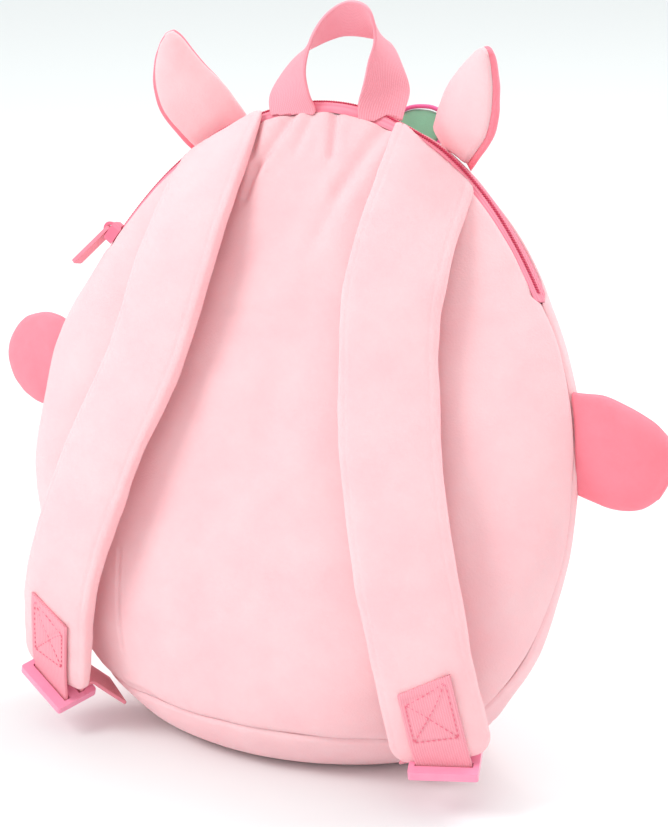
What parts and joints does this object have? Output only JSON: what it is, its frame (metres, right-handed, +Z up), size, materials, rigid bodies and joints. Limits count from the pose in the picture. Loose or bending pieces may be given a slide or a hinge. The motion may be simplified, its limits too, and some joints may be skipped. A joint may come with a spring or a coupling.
{
  "type": "kids backpack",
  "caption": "Soft egg-shaped kids' backpack with padded shoulder straps, carry loop, zipped top, stuffed ears and arms; stands on its base.",
  "frame": {"origin": "middle of the flat base on the floor", "axes": "+X towards the shoulder strap on the viewer's right, seen from behind; +Y towards the bag's front, away from the wearer's back; +Z up"},
  "size_m": [0.3506, 0.1444, 0.3406],
  "materials": {
    "back_panel": "short plush velour, light pink",
    "front_shell": "short plush velour, light pink",
    "base_gusset": "short plush velour, light pink",
    "zipper_tape": "woven zip tape, pink",
    "zipper_teeth": "nylon coil, deep rose",
    "zipper_slider": "painted slider, deep rose",
    "zipper_pull": "moulded pull tab, deep pink",
    "carry_handle": "ribbed webbing, pink",
    "ear_back_left": "short plush velour, light pink",
    "ear_front_left": "short plush velour, deep pink",
    "arm_left": "short plush velour, deep pink",
    "shoulder_strap_left": "padded strap in short plush velour, light pink",
    "strap_webbing_left": "ribbed webbing with box stitching, pink",
    "buckle_left": "moulded ladder lock, bright pink",
    "lower_webbing_left": "ribbed webbing, pink",
    "ear_back_right": "short plush velour, light pink",
    "ear_front_right": "short plush velour, deep pink",
    "arm_right": "short plush velour, deep pink",
    "shoulder_strap_right": "padded strap in short plush velour, light pink",
    "strap_webbing_right": "ribbed webbing with box stitching, pink",
    "buckle_right": "moulded ladder lock, bright pink",
    "lower_webbing_right": "ribbed webbing, pink",
    "crest_leaf": "short plush, pale green",
    "crest_rim": "folded edge, magenta pink"
  },
  "bodies": {
    "bag": {"back_panel": "back_panel", "front_shell": "front_shell", "base_gusset": "base_gusset", "zipper_tape": "zipper_tape", "zipper_teeth": "zipper_teeth", "zipper_slider": "zipper_slider", "carry_handle": "carry_handle", "ear_back_left": "ear_back_left", "ear_front_left": "ear_front_left", "arm_left": "arm_left", "shoulder_strap_left": "shoulder_strap_left", "strap_webbing_left": "strap_webbing_left", "buckle_left": "buckle_left", "lower_webbing_left": "lower_webbing_left", "ear_back_right": "ear_back_right", "ear_front_right": "ear_front_right", "arm_right": "arm_right", "shoulder_strap_right": "shoulder_strap_right", "strap_webbing_right": "strap_webbing_right", "buckle_right": "buckle_right", "lower_webbing_right": "lower_webbing_right", "crest_leaf": "crest_leaf", "crest_rim": "crest_rim"},
    "pull_tab": {"zipper_pull": "zipper_pull"}
  },
  "joints": [
    {"name": "zipper_pull_hinge", "type": "hinge", "parent": "bag", "child": "pull_tab", "pos_m": [-0.11208, 0.0154, 0.22543], "axis": [0, 0.9744, -0.225], "range_deg": [-5, 150]}
  ]
}
